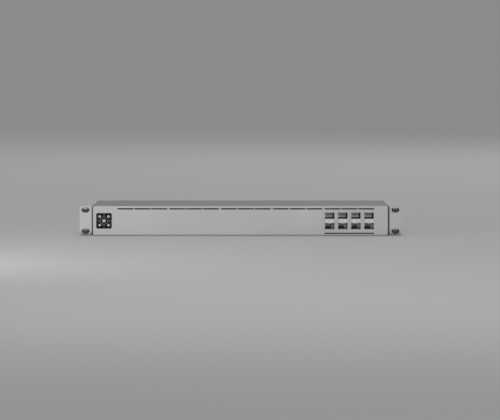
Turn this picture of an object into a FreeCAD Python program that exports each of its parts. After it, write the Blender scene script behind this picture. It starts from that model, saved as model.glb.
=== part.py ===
import FreeCAD
import Part

import math
import os

from FreeCAD import Vector

# An eight-port rackmount network switch, one rack unit high, as an assembly of separate pieces: a folded
# steel case behind a thick front panel with a square touch display and four stacks of two transceiver ports,
# and inside it the main board with its heat sink, the mains power board and their wiring.
#
# +Z is up, +X is to the right seen from the front, and the front panel faces -Y. The origin is the centre of
# the rack screw pattern, on the rear faces of the rack ears, which bear on the rack's rails. Millimetres.

X, Y, Z = Vector(1, 0, 0), Vector(0, 1, 0), Vector(0, 0, 1)
TOUCH = 0.05  # clearance between pieces that fit inside each other

# Driving dimensions
PANEL_W, PANEL_H, PANEL_T = 442.4, 43.7, 3.0
DEPTH = 200.0  # front panel face to rear wall
CASE_W = 440.0
SHEET = 1.0  # case sheet
EAR_SPAN, EAR_T, EAR_BEND = 482.6, 2.0, 4.0  # the bend's outer radius
RACK_X, RACK_Z = 465.1, 31.75  # rack screw pattern
SLOT_L, SLOT_H = 12.0, 6.5  # rack slot in an ear
PORT_W, PORT_H = 13.9, 9.3  # clear opening of one transceiver port
PORT_PITCH_X, PORT_PITCH_Z = 19.65, 15.3
PORTS_X, PORTS_Z = 163.4, -0.5  # centre of the block of ports
DISPLAY_X, DISPLAY_Z, DISPLAY_SIDE = -204.7, -0.4, 23.1
VENT_Z, VENT_H = 17.6, 2.0
VENT_GROUPS, VENTS_IN_GROUP = 5, 3
VENT_GROUP_W, VENT_GROUP_PITCH, VENT_RIB = 74.8, 77.7, 1.0
LOWER_SLOT_Z, LOWER_SLOT_H = -19.1, 1.7

# Planes that follow from them
TOP = PANEL_H / 2
BOTTOM = -TOP
PANEL_BACK = -EAR_T
PANEL_FRONT = PANEL_BACK - PANEL_T
REAR = PANEL_FRONT + DEPTH
SIDE = CASE_W / 2
FLOOR = BOTTOM + SHEET  # inner face of the case floor
CEILING = TOP - SHEET
BEHIND_WALL = PANEL_BACK + SHEET  # rear face of the front frame's web
FRAME_DEPTH = 8.0  # how far back the front frame's flanges reach
REAR_INNER = REAR - SHEET
REAR_FOLD = 9.0  # how far forward the rear wall's flanges reach

# Boards
BOARD_T = 1.6
CAGE_T = 0.3  # sheet of the transceiver cages
CAGE_W = PORT_W + 2 * CAGE_T
CAGE_H = PORT_PITCH_Z + PORT_H + 2 * CAGE_T
CAGE_FRONT = PANEL_FRONT + 0.4
CAGE_BACK = 50.0
CAGE_CAVITY = 34.0  # where the channels end and the connector's space begins
MAIN_TOP = PORTS_Z - CAGE_H / 2
MAIN_X0, MAIN_X1, MAIN_Y0, MAIN_Y1 = -78.0, 213.0, 1.5, 190.0
POWER_TOP = -14.0
POWER_X0, POWER_X1, POWER_Y0, POWER_Y1 = -214.0, -90.0, 20.0, 168.0

# Rear wall
INLET_X, INLET_Z, INLET_W, INLET_H = -176.0, -1.0, 27.0, 19.8
BACKUP_X, BACKUP_W, BACKUP_H = 62.0, 18.0, 11.0
BACKUP_Z = MAIN_TOP + BACKUP_H / 2
RESET_X, RESET_Y, RESET_Z = 104.0, MAIN_Y1 - 1.0, MAIN_TOP + 2.2  # RESET_Y is the switch's rear face
GROUND_X, GROUND_Z = -142.0, -9.0

SAVED = []


# Shapes used over and over

def block(x0, x1, y0, y1, z0, z1):
    """A box from its low and high places along each axis."""
    return Part.makeBox(x1 - x0, y1 - y0, z1 - z0, Vector(x0, y0, z0))


def upright(cx, cz, width, height, y0, y1):
    """A box centred on a place in the front view, between two depths."""
    return block(cx - width / 2, cx + width / 2, y0, y1, cz - height / 2, cz + height / 2)


def rod(radius, start, along, length):
    return Part.makeCylinder(radius, length, start, along)


def edges_along(shape, axis, keep=lambda middle: True):
    """The straight edges that run along an axis and whose middle passes a test."""
    found = []
    for edge in shape.Edges:
        first, last = edge.Vertexes[0].Point, edge.Vertexes[-1].Point
        run = last - first
        straight = edge.Curve.TypeId == "Part::GeomLine"
        if straight and run.Length > 1e-6 and abs(abs(run.normalize().dot(axis)) - 1) < 1e-6:
            if keep((first + last) * 0.5):
                found.append(edge)
    return found


def rounded(shape, radius, axis, keep=lambda middle: True):
    """The shape with its edges along an axis rounded."""
    return shape.makeFillet(radius, edges_along(shape, axis, keep))


def obround(centre, along, through, length, width, depth):
    """A round-ended bar `length` long and `width` wide, reaching `depth` from its centre plane."""
    across = through.cross(along) * (width / 2)
    half = along * ((length - width) / 2)
    tip = along * (length / 2)
    a, b = centre - half + across, centre + half + across
    c, d = centre + half - across, centre - half - across
    outline = Part.Wire([
        Part.LineSegment(a, b).toShape(),
        Part.Arc(b, centre + tip, c).toShape(),
        Part.LineSegment(c, d).toShape(),
        Part.Arc(d, centre - tip, a).toShape(),
    ])
    return Part.Face(outline).extrude(through * depth)


def along_path(points, radius, bend):
    """A round wire through the points with each corner bent to a radius."""
    edges = []
    last = points[0]
    for before, corner, after in zip(points, points[1:], points[2:]):
        into, out = (corner - before).normalize(), (after - corner).normalize()
        turn = into.getAngle(out)
        trim = bend * math.tan(turn / 2)
        start, end = corner - into * trim, corner + out * trim
        middle = corner + (out - into).normalize() * (bend / math.cos(turn / 2) - bend)
        edges.append(Part.LineSegment(last, start).toShape())
        edges.append(Part.Arc(start, middle, end).toShape())
        last = end
    edges.append(Part.LineSegment(last, points[-1]).toShape())
    circle = Part.Circle(points[0], (points[1] - points[0]).normalize(), radius).toShape()
    return Part.Wire(edges).makePipeShell([Part.Wire([circle])], True, False)


def turned(shape, at, outward):
    """A copy of a shape made along +Z at the origin, moved to a place and turned to point outward."""
    made = shape.copy()
    made.Placement = FreeCAD.Placement(at, FreeCAD.Rotation(Z, outward))
    return made


def screw_shape(head_r, head_h, shank_r, shank_l, recess=0.55):
    """A domed cross-recess screw along +Z: the face under its head is at the origin."""
    head = rod(head_r, Vector(), Z, head_h)
    rim = [e for e in head.Edges if e.Closed and e.CenterOfMass.z > head_h / 2]
    head = head.makeFillet(head_h * 0.55, rim)
    arm, blade = head_r * recess, head_r * 0.17
    depth = head_h * 0.6
    cross = [
        block(-arm, arm, -blade, blade, head_h - depth, head_h + 1),
        block(-blade, blade, -arm, arm, head_h - depth, head_h + 1),
    ]
    return head.cut(cross).fuse(rod(shank_r, Vector(0, 0, -shank_l), Z, shank_l)).removeSplitter()


def screws_at(shape, places, outward):
    return [turned(shape, place, outward) for place in places]


def save(node, *shapes):
    """Writes one node's solids to its STEP file and checks each of them."""
    solids = [solid for shape in shapes for solid in shape.Solids]
    for solid in solids:
        if not solid.isValid() or not solid.isClosed() or solid.Volume <= 0:
            print("bad solid in", node, solid.isValid(), solid.isClosed(), solid.Volume)
    whole = solids[0] if len(solids) == 1 else Part.makeCompound(solids)
    whole.exportStep(f"parts/{node}.step")
    SAVED.append((node, len(solids), sum(solid.Volume for solid in solids)))


# Places shared by several pieces

def columns():
    """The centres of the four stacks of ports, left to right."""
    return [PORTS_X + (i - 1.5) * PORT_PITCH_X for i in range(4)]


def vent_groups():
    """The centres of the groups of vents in the panel; the last one stands over the ports."""
    return [PORTS_X - i * VENT_GROUP_PITCH for i in reversed(range(VENT_GROUPS))]


def rack_places(y):
    return [Vector(sx * RACK_X / 2, y, sz * RACK_Z / 2) for sx in (-1, 1) for sz in (-1, 1)]


PANEL_SCREWS = [(x, z) for x in (-180.0, -30.0, 90.0) for z in (-12.0, 9.0)]
COVER_SIDE_Y = (100.0, 182.0)
COVER_SCREW_Z = 15.5
COVER_REAR_X = (-206.0, 0.0, 206.0)
REAR_VENT_X = [-110.0 + 20.5 * i for i in range(7)] + [134.0 + 20.5 * i for i in range(4)]
REAR_VENT_Z, REAR_VENT_L, REAR_VENT_H = (12.0, 6.0, 0.0, -6.0), 17.0, 2.4
SIDE_VENT_Y, SIDE_VENT_Z = [74.0 + 5.2 * i for i in range(20)], (-9.5, 5.0)
SIDE_VENT_L, SIDE_VENT_W = 12.0, 2.2
EAR_SCREWS = [(y, z) for y in (16.0, 50.0) for z in (-12.0, 12.0)]
MAIN_STANDOFFS = [(x, y) for x in (-70.0, 112.0, 206.0) for y in (58.0, 176.0)]
MAIN_STANDOFFS += [(-70.0, 28.0), (112.0, 16.0)]
POWER_STANDOFFS = [(x, y) for x in (-207.0, -97.0) for y in (27.0, 161.0)]
DISPLAY_SCREWS = [(DISPLAY_X + sx * 11.0, DISPLAY_Z + sz * 16.6) for sx in (-1, 1) for sz in (-1, 1)]


# The case

def base_tray():
    """The folded steel tray: floor and side walls."""
    outer = block(-SIDE, SIDE, PANEL_BACK, REAR, BOTTOM, CEILING)
    outer = rounded(outer, 1.4, Y, lambda m: m.z < 0)
    inner = block(-SIDE + SHEET, SIDE - SHEET, PANEL_BACK - 1, REAR + 1, FLOOR, TOP + 1)
    inner = rounded(inner, 0.6, Y, lambda m: m.z < 0)
    through = SHEET + 2
    cuts = [inner]
    for side in (-1, 1):
        start = side * (SIDE - SHEET - 1)
        cuts += [obround(Vector(start, y, z), Z, X * side, SIDE_VENT_L, SIDE_VENT_W, through)
                 for y in SIDE_VENT_Y for z in SIDE_VENT_Z]
        cuts += [rod(2.05, Vector(start, y, z), X * side, through) for y, z in EAR_SCREWS]
        cuts += [rod(1.55, Vector(start, y, COVER_SCREW_Z), X * side, through) for y in COVER_SIDE_Y]
    # shallow seats for stick-on feet
    cuts += [rod(6.5, Vector(x, y, BOTTOM - 1), Z, 1.4) for x in (-190.0, 190.0) for y in (25.0, 170.0)]
    save("base_tray", outer.cut(cuts))


def rear_panel():
    """The rear wall, with flanges folded forward along the floor and the sides, and its openings."""
    side, low, high, front = SIDE - SHEET - TOUCH, FLOOR + TOUCH, CEILING - TOUCH, REAR - REAR_FOLD
    outer = rounded(block(-side, side, front, REAR, low, high), 1.2, X, lambda m: m.y > front + 1 and m.z < 0)
    outer = rounded(outer, 1.0, Z, lambda m: m.y > front + 1)
    inner = block(-side + SHEET, side - SHEET, front - 1, REAR_INNER, low + SHEET, high + 1)
    outside, through = REAR_INNER - 1, SHEET + 2
    cuts = [inner]
    cuts += [block(s * side - 1.5, s * side + 1.5, front - 1, REAR_INNER - 0.5, z0, z1)
             for s in (-1, 1) for z0, z1 in ((low - 1, low + 2.0), (11.0, high + 1))]
    cuts.append(upright(INLET_X, INLET_Z, INLET_W + 0.3, INLET_H + 0.3, outside, outside + through))
    cuts.append(upright(BACKUP_X, BACKUP_Z, BACKUP_W + 0.4, BACKUP_H + 0.4, outside, outside + through))
    cuts.append(rod(1.4, Vector(RESET_X, outside, RESET_Z), Y, through))
    cuts.append(rod(2.1, Vector(GROUND_X, outside, GROUND_Z), Y, through))
    cuts += [rod(1.55, Vector(x, outside, COVER_SCREW_Z), Y, through) for x in COVER_REAR_X]
    cuts += [obround(Vector(x, outside, z), X, Y, REAR_VENT_L, REAR_VENT_H, through)
             for x in REAR_VENT_X for z in REAR_VENT_Z]
    save("rear_panel", outer.cut(cuts))


def front_frame():
    """The steel channel between floor and lid, behind the panel, that the panel and the display bear on."""
    side, low, high = SIDE - SHEET - 0.4, FLOOR + TOUCH, CEILING - TOUCH
    channel = rounded(block(-side, side, PANEL_BACK, FRAME_DEPTH, low, high), 1.2, X, lambda m: m.y < 0)
    hollow = block(-side - 1, side + 1, BEHIND_WALL, FRAME_DEPTH + 1, low + SHEET, high - SHEET)
    hollow = rounded(hollow, 0.4, X, lambda m: m.y < 0)
    y0, through = PANEL_BACK - 1, SHEET + 2
    cuts = [hollow, upright(DISPLAY_X, DISPLAY_Z, 27.6, 30.0, y0, y0 + through)]
    cuts += [upright(x, PORTS_Z, CAGE_W + 2.6, CAGE_H + 2.6, y0, y0 + through) for x in columns()]
    cuts += [obround(Vector(x, y0, VENT_Z), X, Y, VENT_GROUP_W, 3.0, through) for x in vent_groups()]
    cuts.append(upright(PORTS_X, (BOTTOM + LOWER_SLOT_Z + 1.2) / 2, VENT_GROUP_W, LOWER_SLOT_Z + 1.2 - BOTTOM,
                        y0, FRAME_DEPTH + 1))
    cuts += [rod(1.65, Vector(x, y0, z), Y, through) for x, z in PANEL_SCREWS]
    cuts += [rod(1.3, Vector(x, y0, z), Y, through) for x, z in DISPLAY_SCREWS]
    save("front_frame", channel.cut(cuts))


def top_cover():
    """The lid: a plate on top of the walls, with lips folded down inside them."""
    plate = block(-SIDE, SIDE, PANEL_BACK, REAR, CEILING, TOP)
    plate = rounded(plate, 0.7, Y, lambda m: m.z > TOP - 0.01)
    plate = rounded(plate, 0.7, X, lambda m: m.z > TOP - 0.01 and m.y > 0)
    lip_in, lip_out = SIDE - 2 * SHEET - 0.2, SIDE - SHEET - 0.2
    lips = [block(s * lip_in if s > 0 else -lip_out, s * lip_out if s > 0 else -lip_in,
                  72.0, REAR_INNER - 4, 12.6, CEILING) for s in (-1, 1)]
    lips.append(block(-SIDE + 6, SIDE - 6, REAR_INNER - 0.2 - SHEET, REAR_INNER - 0.2, 14.0, CEILING))
    holes = [rod(1.2, Vector(s * (lip_in - 1), y, COVER_SCREW_Z), X * s, SHEET + 1.5)
             for s in (-1, 1) for y in COVER_SIDE_Y]
    holes += [rod(1.2, Vector(x, REAR_INNER - 3, COVER_SCREW_Z), Y, 3) for x in COVER_REAR_X]
    save("top_cover", plate.fuse(lips).cut(holes).removeSplitter())


def cover_screws():
    shape = screw_shape(2.7, 1.2, 1.15, 2.6)
    placed = screws_at(shape, [Vector(x, REAR, COVER_SCREW_Z) for x in COVER_REAR_X], Y)
    for side in (-1, 1):
        placed += screws_at(shape, [Vector(side * SIDE, y, COVER_SCREW_Z) for y in COVER_SIDE_Y], X * side)
    save("cover_screws", *placed)


def front_panel():
    """The thick front plate with the display window, the port openings and the two lines of vents."""
    plate = block(-PANEL_W / 2, PANEL_W / 2, PANEL_FRONT, PANEL_BACK, BOTTOM, TOP)
    plate = rounded(plate, 1.8, Y)
    rim = [e for e in plate.Edges if abs(e.BoundBox.YMin - PANEL_FRONT) < 1e-4 and e.BoundBox.YLength < 1e-4]
    plate = plate.makeFillet(0.5, rim)
    y0, through = PANEL_FRONT - 1, PANEL_T + 2
    window = rounded(upright(DISPLAY_X, DISPLAY_Z, DISPLAY_SIDE, DISPLAY_SIDE, y0, y0 + through), 2.0, Y)
    mouths = [rounded(upright(x, PORTS_Z, CAGE_W + 0.3, CAGE_H + 0.3, y0, y0 + through), 0.5, Y)
              for x in columns()]
    plate = plate.cut([window] + mouths)
    inside = [e for e in plate.Edges
              if abs(e.BoundBox.YMin - PANEL_FRONT) < 1e-4 and e.BoundBox.YLength < 1e-4
              and abs(e.CenterOfMass.z) < TOP - 2 and abs(e.CenterOfMass.x) < PANEL_W / 2 - 2]
    plate = plate.makeChamfer(0.25, inside)
    pocket_y = PANEL_BACK - 1.3
    cuts = [upright(DISPLAY_X, DISPLAY_Z, 27.4, 27.4, pocket_y, PANEL_BACK + 1)]
    vent_l = (VENT_GROUP_W - (VENTS_IN_GROUP - 1) * VENT_RIB) / VENTS_IN_GROUP
    cuts += [obround(Vector(x + (i - 1) * (vent_l + VENT_RIB), y0, VENT_Z), X, Y, vent_l, VENT_H, through)
             for x in vent_groups() for i in range(VENTS_IN_GROUP)]
    cuts.append(obround(Vector(PORTS_X, y0, LOWER_SLOT_Z), X, Y, VENT_GROUP_W, LOWER_SLOT_H, through))
    cuts += [rod(1.3, Vector(x, PANEL_BACK - 2.2, z), Y, 3) for x, z in PANEL_SCREWS]
    cuts += [rod(1.05, Vector(x, PANEL_BACK - 1.6, z), Y, 3) for x, z in DISPLAY_SCREWS]
    save("front_panel", plate.cut(cuts))


def panel_screws():
    shape = screw_shape(2.7, 1.6, 1.25, 3.0)
    save("panel_screws", *screws_at(shape, [Vector(x, BEHIND_WALL, z) for x, z in PANEL_SCREWS], Y))


# The rack ears

def rack_ear(side):
    """An L-shaped bracket: a flange along the case's side wall and the slotted ear, bent from one sheet."""
    outer, inner, flange_y = EAR_BEND, EAR_BEND - EAR_T, 66.0
    tip, bend_x, bend_y = EAR_SPAN / 2, SIDE + EAR_BEND, EAR_BEND - EAR_T
    slant = math.sqrt(0.5)
    places = [Vector(x, y, BOTTOM) for x, y in (
        (SIDE, flange_y), (SIDE, bend_y), (bend_x - outer * slant, bend_y - outer * slant), (bend_x, -EAR_T),
        (tip, -EAR_T), (tip, 0), (bend_x, 0), (bend_x - inner * slant, bend_y - inner * slant),
        (SIDE + EAR_T, bend_y), (SIDE + EAR_T, flange_y))]
    profile = Part.Wire([
        Part.LineSegment(places[0], places[1]).toShape(),
        Part.Arc(places[1], places[2], places[3]).toShape(),
        Part.LineSegment(places[3], places[4]).toShape(),
        Part.LineSegment(places[4], places[5]).toShape(),
        Part.LineSegment(places[5], places[6]).toShape(),
        Part.Arc(places[6], places[7], places[8]).toShape(),
        Part.LineSegment(places[8], places[9]).toShape(),
        Part.LineSegment(places[9], places[0]).toShape(),
    ])
    bracket = Part.Face(profile).extrude(Z * PANEL_H)
    bracket = rounded(bracket, 3.0, Y, lambda m: m.x > tip - 1)
    bracket = rounded(bracket, 6.0, X, lambda m: m.y > flange_y - 1)
    cuts = [obround(p, X, Y, SLOT_L, SLOT_H, EAR_T + 2) for p in rack_places(-EAR_T - 1) if p.x > 0]
    cuts += [rod(2.1, Vector(SIDE - 1, y, z), X, EAR_T + 2) for y, z in EAR_SCREWS]
    bracket = bracket.cut(cuts)
    if side < 0:
        bracket = bracket.mirror(Vector(), X)
    save("rack_ear_left" if side < 0 else "rack_ear_right", bracket)


def ear_screws():
    shape = screw_shape(3.6, 1.7, 1.95, 5.0)
    placed = []
    for side in (-1, 1):
        spots = [Vector(side * (SIDE + EAR_T), y, z) for y, z in EAR_SCREWS]
        placed += screws_at(shape, spots, X * side)
    save("ear_screws", *placed)


def rack_screws():
    """Captive screws: the neck inside the ear is thinner than the threaded end."""
    shape = screw_shape(3.8, 2.6, 2.2, EAR_T, recess=0.6)
    shape = shape.fuse(rod(2.5, Vector(0, 0, -16), Z, 16 - EAR_T)).removeSplitter()
    save("rack_screws", *screws_at(shape, rack_places(-EAR_T), -Y))


def slot_inserts():
    """Nylon inserts that fill the ear slots and hold the rack screws captive."""
    made = []
    for place in rack_places(-EAR_T + 0.3):
        insert = obround(place, X, Y, SLOT_L - 2 * TOUCH, SLOT_H - 2 * TOUCH, EAR_T - 0.3)
        hole = rod(2.5 + TOUCH, place - Y, Y, EAR_T + 2)
        made.append(insert.cut(hole))
    save("slot_inserts", *made)


# The display

def display_lens():
    face = rounded(upright(DISPLAY_X, DISPLAY_Z, DISPLAY_SIDE - 0.2, DISPLAY_SIDE - 0.2,
                           PANEL_FRONT + 0.15, PANEL_BACK - 1.3), 1.9, Y)
    flange = upright(DISPLAY_X, DISPLAY_Z, 27.2, 27.2, PANEL_BACK - 1.3, PANEL_BACK - 0.6)
    save("display_lens", face.fuse(flange).removeSplitter())


def display_module():
    """The liquid-crystal cell and its backlight in their folded metal tray."""
    cell = upright(DISPLAY_X, DISPLAY_Z, 26.4, 26.4, PANEL_BACK - 0.6, PANEL_BACK + 1.6)
    ledge = upright(DISPLAY_X, DISPLAY_Z - 0.6, 24.0, 27.4, PANEL_BACK + 0.2, PANEL_BACK + 1.6)
    save("display_module", cell.fuse(ledge).removeSplitter())


def display_holder():
    """The moulded frame that clamps the display against the case's front wall."""
    y0, y1 = BEHIND_WALL, BEHIND_WALL + 4.0
    frame = rounded(upright(DISPLAY_X, DISPLAY_Z, 28.6, 37.8, y0, y1), 2.0, Y)
    pocket = upright(DISPLAY_X, DISPLAY_Z, 27.0, 29.2, y0 - 1, PANEL_BACK + 1.7)
    window = upright(DISPLAY_X, DISPLAY_Z, 20.0, 22.0, y0 - 1, y1 + 1)
    bores = [rod(1.05, Vector(x, y0 - 1, z), Y, 6) for x, z in DISPLAY_SCREWS]
    save("display_holder", frame.cut([pocket, window] + bores))


def display_board():
    """The display's controller board, standing behind the holder."""
    y0 = BEHIND_WALL + 4.0
    board = upright(DISPLAY_X, DISPLAY_Z, 28.0, 37.4, y0, y0 + 1.2)
    save("display_board", board.cut([rod(1.3, Vector(x, y0 - 1, z), Y, 4) for x, z in DISPLAY_SCREWS]))


def display_screws():
    y_seat = BEHIND_WALL + 5.2
    shape = screw_shape(2.0, 1.2, 1.0, 7.6)
    save("display_screws", *screws_at(shape, [Vector(x, y_seat, z) for x, z in DISPLAY_SCREWS], Y))


def board_headers():
    """The clamp sockets of the display's ribbon and the headers of the low-voltage wires."""
    y0 = BEHIND_WALL + 5.2
    save("board_headers",
         upright(DISPLAY_X + 4, DISPLAY_Z - 8, 12.0, 3.4, y0, y0 + 2.2),
         block(-75.0, -71.4, 6.0, 18.0, MAIN_TOP, MAIN_TOP + 2.4),
         on_board(-95.0, 110.0, 6.0, 22.0, 8.0, POWER_TOP),
         on_board(-68.0, 96.0, 6.0, 22.0, 8.0, MAIN_TOP))


def display_ribbon():
    """The flat cable from the display board to the main board, folded along the front wall."""
    half, thick = 4.5, 0.3
    y_out = BEHIND_WALL + 7.4
    x0, x1, z0 = DISPLAY_X + 4, -75.0, DISPLAY_Z - 8
    run_z = MAIN_TOP + 1.0
    run = block(x0 - half, x0 + half, y_out, y_out + thick, run_z - 1.0, z0 + 1.5)
    along = block(x0 - half, x1 - 6.0, y_out, y_out + thick, run_z - 1.0, run_z + 8.0)
    fold = block(x1 - 6.0 - thick, x1 - 6.0, y_out, y_out + 11.0, run_z - 1.0, run_z + 8.0)
    tongue = block(x1 - 6.3, x1, y_out + 1.2, y_out + 10.2, run_z, run_z + thick)
    save("display_ribbon", run.fuse([along, fold, tongue]).removeSplitter())


# The transceiver ports

LEAF_W, LEAF_Y0, LEAF_Y1, LEAF_GAP = 6.0, CAGE_FRONT + 1.6, CAGE_FRONT + 11.2, 0.2  # latch leaf
GUIDE_X, GUIDE_W, GUIDE_H = 3.6, 3.4, 1.5  # light guides, either side of a stack's centre


def sfp_cage(number, x):
    """A sheet-metal cage for two stacked ports, with light guides and latch leaves between them."""
    y0, y1 = CAGE_FRONT, CAGE_BACK
    outer = upright(x, PORTS_Z, CAGE_W, CAGE_H, y0, y1)
    up, down = PORTS_Z + PORT_PITCH_Z / 2, PORTS_Z - PORT_PITCH_Z / 2
    between = PORT_PITCH_Z - PORT_H - 2 * CAGE_T
    cuts = [upright(x, z, PORT_W, PORT_H, y0 - 1, CAGE_CAVITY + 1) for z in (up, down)]
    cuts.append(upright(x, PORTS_Z, PORT_W, between, y0 + CAGE_T, CAGE_CAVITY + 1))
    cuts.append(upright(x, PORTS_Z, PORT_W, CAGE_H - 2 * CAGE_T, CAGE_CAVITY, y1 - CAGE_T))
    for side in (-1, 1):
        guide = Vector(x + side * GUIDE_X, y0 - 1, PORTS_Z)
        cuts.append(obround(guide, X, Y, GUIDE_W + 0.2, GUIDE_H + 0.2, 3))
        cuts.append(upright(x + side * GUIDE_X, PORTS_Z, GUIDE_W + 0.6, GUIDE_H + 0.6, y1 - 2, y1 + 1))
    cuts.append(upright(x, PORTS_Z - CAGE_H / 2 + 3, PORT_W - 1.5, 5.0, y1 - 2, y1 + 1))
    for z, way in ((up, -1), (down, 1)):
        leaf_z = z + way * (PORT_H / 2 + CAGE_T / 2)
        cuts.append(block(x - LEAF_W / 2 - LEAF_GAP, x + LEAF_W / 2 + LEAF_GAP, LEAF_Y0 - LEAF_GAP,
                          LEAF_Y1 + LEAF_GAP, leaf_z - CAGE_T, leaf_z + CAGE_T))
    save(f"sfp_cage_{number}", outer.cut(cuts))


def latch_leaf(number, x, z, way):
    """The spring leaf that catches a module: its rear edge is its root, and its hole takes the latch post."""
    mid = z + way * (PORT_H / 2 + CAGE_T / 2)
    leaf = block(x - LEAF_W / 2, x + LEAF_W / 2, LEAF_Y0, LEAF_Y1, mid - CAGE_T / 2, mid + CAGE_T / 2)
    leaf = rounded(leaf, CAGE_T * 0.499, X, lambda m: m.y > LEAF_Y1 - 0.5)
    catch = block(x - 1.4, x + 1.4, LEAF_Y0 + 1.8, LEAF_Y0 + 4.6, mid - 1, mid + 1)
    save(f"sfp_latch_{number}", leaf.cut(catch))


def latch_leaves():
    """Ports are numbered down each stack and then to the right, so the upper ones are odd."""
    for i, x in enumerate(columns()):
        latch_leaf(2 * i + 1, x, PORTS_Z + PORT_PITCH_Z / 2, -1)
        latch_leaf(2 * i + 2, x, PORTS_Z - PORT_PITCH_Z / 2, 1)


def sfp_connectors():
    """The card-edge connectors at the back of each stack: two slotted noses on one moulded spine."""
    made = []
    y_nose, y_body, y_back = CAGE_CAVITY - 4, CAGE_CAVITY + 4, CAGE_BACK - 2.4
    for x in columns():
        up, down = PORTS_Z + PORT_PITCH_Z / 2, PORTS_Z - PORT_PITCH_Z / 2
        bodies = [upright(x, z, PORT_W - 0.6, PORT_H - 0.4, y_body, y_back) for z in (up, down)]
        noses = [
            block(x - 6.6, x + 5.2, y_nose, y_body + 1, up - 3.3, up + 4.3),
            block(x - 6.4, x + 6.4, y_nose, y_body + 1, down - 1.2, down + 4.3),
            block(x + 3.2, x + 6.4, y_nose + 0.8, y_body + 1, down - 4.2, down),
            upright(x, PORTS_Z, 2.6, PORT_PITCH_Z, y_body + 4, y_back),
        ]
        slots = [upright(x, z, 9.6, 1.3, y_nose - 1, y_body - 1) for z in (up, down)]
        made.append(bodies[0].fuse(bodies[1:] + noses).cut(slots).removeSplitter())
    save("sfp_connectors", *made)


def emi_gaskets():
    """The sprung collars that ground each cage to the case's front wall."""
    made = []
    for x in columns():
        y0, y1 = PANEL_BACK + TOUCH, MAIN_Y0 - 0.1
        ring = upright(x, PORTS_Z, CAGE_W + 2.2, CAGE_H + 2.2, y0, y1)
        bore = upright(x, PORTS_Z, CAGE_W + 0.1, CAGE_H + 0.1, y0 - 1, y1 + 1)
        gaps = [block(x - CAGE_W, x + CAGE_W, y0 - 1, y1 - 1.2, z - 0.3, z + 0.3)
                for z in (PORTS_Z + (i - 2.5) * 4.0 for i in range(6))]
        gaps += [block(gx - 0.3, gx + 0.3, y0 - 1, y1 - 1.2, PORTS_Z - CAGE_H, PORTS_Z + CAGE_H)
                 for gx in (x - 3.6, x, x + 3.6)]
        made.append(ring.cut([bore] + gaps))
    save("emi_gaskets", *made)


def light_guides():
    """Clear guides that carry each port's light from the board, between the ports, to the cage's face."""
    made = []
    for x in columns():
        for side in (-1, 1):
            cx, y_back = x + side * GUIDE_X, CAGE_BACK + 2.6
            nose = obround(Vector(cx, CAGE_FRONT - 0.1, PORTS_Z), X, Y, GUIDE_W, GUIDE_H, 1.5)
            bar = upright(cx, PORTS_Z, GUIDE_W - 0.6, GUIDE_H - 0.1, CAGE_FRONT + 1.2, y_back)
            high = PORTS_Z + GUIDE_H / 2 - TOUCH
            leg = block(cx - 1.1, cx + 1.1, y_back - 1.8, y_back, MAIN_TOP + 1.0, high)
            made.append(nose.fuse([bar, leg]).removeSplitter())
    save("light_guides", *made)


def port_lamps():
    """The small lamps on the board under the light guides."""
    y = CAGE_BACK + 2.6 - 0.9
    save("port_lamps", *[block(x + s * GUIDE_X - 0.8, x + s * GUIDE_X + 0.8, y - 0.6, y + 0.6,
                               MAIN_TOP, MAIN_TOP + 0.8) for x in columns() for s in (-1, 1)])


# The main board

def main_board():
    board = block(MAIN_X0, MAIN_X1, MAIN_Y0, MAIN_Y1, MAIN_TOP - BOARD_T, MAIN_TOP)
    board = rounded(board, 2.0, Z)
    save("main_board", board.cut([rod(1.7, Vector(x, y, MAIN_TOP - 3), Z, 5) for x, y in MAIN_STANDOFFS]))


def on_board(cx, cy, sx, sy, height, base=MAIN_TOP):
    return block(cx - sx / 2, cx + sx / 2, cy - sy / 2, cy + sy / 2, base, base + height)


SINK_X, SINK_Y, SINK_W, SINK_D = 44.0, 104.0, 110.0, 84.0
SINK_FEET = [(SINK_X + sx * 50.5, SINK_Y + sy * 36.5) for sx in (-1, 1) for sy in (-1, 1)]
CHIP_H, PAD_H, SINK_BASE = 2.3, 0.5, 3.0
FINS, FIN_T = 21, 1.6


def switch_chip():
    substrate = on_board(SINK_X, SINK_Y, 33.0, 33.0, 1.1)
    lid = rounded(on_board(SINK_X, SINK_Y, 27.0, 27.0, CHIP_H - 1.1, MAIN_TOP + 1.1), 1.0, Z)
    save("switch_chip", substrate.fuse(lid).removeSplitter())


def thermal_pad():
    save("thermal_pad", on_board(SINK_X, SINK_Y, 25.0, 25.0, PAD_H, MAIN_TOP + CHIP_H))


def heat_sink():
    """The finned block on the switch chip, with a stepped ear at each corner for its spring screws."""
    base_z = MAIN_TOP + CHIP_H + PAD_H
    base = on_board(SINK_X, SINK_Y, SINK_W, SINK_D, SINK_BASE, base_z)
    pitch = (SINK_W - FIN_T) / (FINS - 1)
    low, high = base_z + SINK_BASE - 0.5, 15.0
    fins = []
    for i in range(FINS):
        x0 = SINK_X - SINK_W / 2 + i * pitch
        fins.append(block(x0, x0 + FIN_T, SINK_Y - SINK_D / 2, SINK_Y + SINK_D / 2, low, high))
    body = base.fuse(fins).removeSplitter()
    cuts = []
    for x, y in SINK_FEET:
        cuts.append(rod(4.2, Vector(x, y, base_z + SINK_BASE), Z, 30))
        cuts.append(rod(1.6, Vector(x, y, base_z - 1), Z, 6))
    save("heat_sink", body.cut(cuts))


def heat_sink_screws():
    """Shouldered screws that reach through the heat sink and the board."""
    seat = MAIN_TOP + CHIP_H + PAD_H + SINK_BASE
    shape = screw_shape(2.6, 1.8, 1.4, seat - MAIN_TOP)
    save("heat_sink_screws", *screws_at(shape, [Vector(x, y, seat) for x, y in SINK_FEET], Z))


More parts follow.
